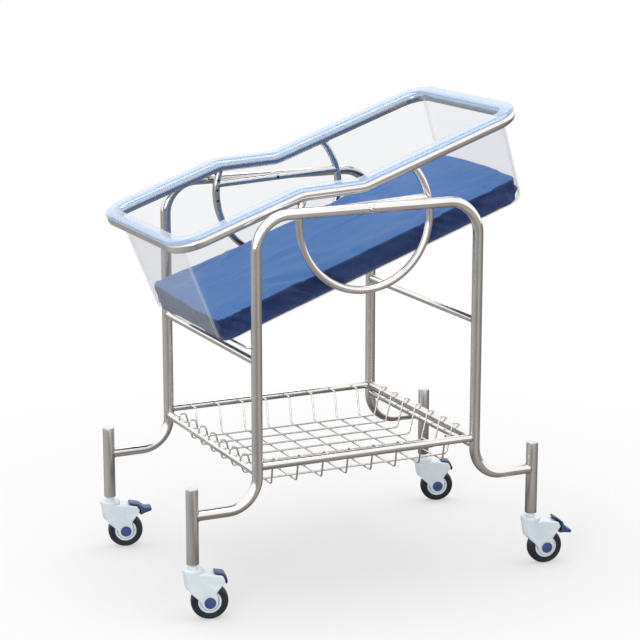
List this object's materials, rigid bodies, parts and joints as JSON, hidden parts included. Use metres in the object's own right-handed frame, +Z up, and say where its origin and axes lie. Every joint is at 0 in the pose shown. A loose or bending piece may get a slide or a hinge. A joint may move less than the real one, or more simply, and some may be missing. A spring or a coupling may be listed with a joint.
{
  "type": "hospital crib",
  "caption": "Tilting clear hospital crib with a mattress on a tubular steel trolley with a wire basket and swivel casters.",
  "frame": {"origin": "on the floor under the middle of the crib's bounding box", "axes": "+X towards the raised head end, +Y towards the far side with the tilt lock, +Z up"},
  "size_m": [0.883, 0.555, 0.9787],
  "materials": {
    "steel": "satin",
    "clear": "clear, glossy",
    "cover": "coated cloth, satin",
    "caster_shell": "satin",
    "plug": "satin",
    "tire": "matt",
    "cap": "satin",
    "brake": "satin"
  },
  "bodies": {
    "trolley": {"side_frame_near": "steel", "side_frame_far": "steel", "crossbar_foot": "steel", "crossbar_head": "steel", "basin_rest_bar": "steel", "basket_rail_near": "steel", "basket_rail_far": "steel", "basket_rail_foot": "steel", "basket_rail_head": "steel", "basket_rail_head_lower": "steel", "basket_floor": "steel", "pivot_bolt_near": "steel", "pivot_bolt_far": "steel", "pivot_nut_near": "steel", "pivot_nut_far": "steel", "pivot_spacer_near": "steel", "pivot_spacer_far": "steel", "post_near_foot": "steel", "post_far_foot": "steel", "post_near_head": "steel", "post_far_head": "steel", "post_plug_near_foot": "plug", "post_plug_far_foot": "plug", "post_plug_near_head": "plug", "post_plug_far_head": "plug", "caster_stem_near_foot": "steel", "caster_stem_far_foot": "steel", "caster_stem_near_head": "steel", "caster_stem_far_head": "steel", "lock_barrel": "steel"},
    "cradle": {"rim_tube": "steel", "hoop_near": "steel", "hoop_far": "steel", "chord_near": "steel", "chord_far": "steel", "basin": "clear", "mattress": "cover"},
    "lock": {"lock_plunger": "brake"},
    "fork_near_foot": {"caster_fork_near_foot": "caster_shell", "caster_axle_near_foot": "cap", "caster_tail_near_foot": "brake"},
    "fork_far_foot": {"caster_fork_far_foot": "caster_shell", "caster_axle_far_foot": "cap"},
    "fork_near_head": {"caster_fork_near_head": "caster_shell", "caster_axle_near_head": "cap"},
    "fork_far_head": {"caster_fork_far_head": "caster_shell", "caster_axle_far_head": "cap", "caster_tail_far_head": "brake"},
    "wheel_near_foot": {"caster_tire_near_foot": "tire", "caster_hub_near_foot": "caster_shell"},
    "wheel_far_foot": {"caster_tire_far_foot": "tire", "caster_hub_far_foot": "caster_shell"},
    "wheel_near_head": {"caster_tire_near_head": "tire", "caster_hub_near_head": "caster_shell"},
    "wheel_far_head": {"caster_tire_far_head": "tire", "caster_hub_far_head": "caster_shell"},
    "pedal_far_foot": {"brake_pedal_far_foot": "brake"},
    "pedal_near_head": {"brake_pedal_near_head": "brake"}
  },
  "joints": [
    {"name": "basin_tilt", "type": "hinge", "parent": "trolley", "child": "cradle", "pos_m": [-0.03325, 0.00035, 0.796], "axis": [0, 1, 0], "range_deg": [0, 19.6]},
    {"name": "tilt_lock", "type": "slide", "parent": "trolley", "child": "lock", "axis": [0, -1, 0], "range_m": [0, 0.011]},
    {"name": "swivel_near_foot", "type": "hinge", "parent": "trolley", "child": "fork_near_foot", "pos_m": [-0.41925, -0.24215, 0.1], "axis": [0, 0, 1], "continuous": true},
    {"name": "swivel_far_foot", "type": "hinge", "parent": "trolley", "child": "fork_far_foot", "pos_m": [-0.41925, 0.24285, 0.1], "axis": [0, 0, 1], "continuous": true},
    {"name": "swivel_near_head", "type": "hinge", "parent": "trolley", "child": "fork_near_head", "pos_m": [0.35275, -0.24215, 0.1], "axis": [0, 0, 1], "continuous": true},
    {"name": "swivel_far_head", "type": "hinge", "parent": "trolley", "child": "fork_far_head", "pos_m": [0.35275, 0.24285, 0.1], "axis": [0, 0, 1], "continuous": true},
    {"name": "roll_near_foot", "type": "hinge", "parent": "fork_near_foot", "child": "wheel_near_foot", "pos_m": [-0.38865, -0.2515, 0.0375], "axis": [0.2924, 0.9563, 0], "continuous": true},
    {"name": "roll_far_foot", "type": "hinge", "parent": "fork_far_foot", "child": "wheel_far_foot", "pos_m": [-0.38834, 0.23457, 0.0375], "axis": [0.2588, 0.9659, 0], "continuous": true},
    {"name": "roll_near_head", "type": "hinge", "parent": "fork_near_head", "child": "wheel_near_head", "pos_m": [0.38426, -0.2477, 0.0375], "axis": [0.1736, 0.9848, 0], "continuous": true},
    {"name": "roll_far_head", "type": "hinge", "parent": "fork_far_head", "child": "wheel_far_head", "pos_m": [0.38318, 0.23297, 0.0375], "axis": [0.309, 0.9511, 0], "continuous": true},
    {"name": "brake_far_foot", "type": "hinge", "parent": "fork_far_foot", "child": "pedal_far_foot", "pos_m": [-0.36902, 0.2294, 0.077], "axis": [0.2588, 0.9659, 0], "range_deg": [0, 25]},
    {"name": "brake_near_head", "type": "hinge", "parent": "fork_near_head", "child": "pedal_near_head", "pos_m": [0.40396, -0.25118, 0.077], "axis": [0.1736, 0.9848, 0], "range_deg": [-25, 0]}
  ]
}
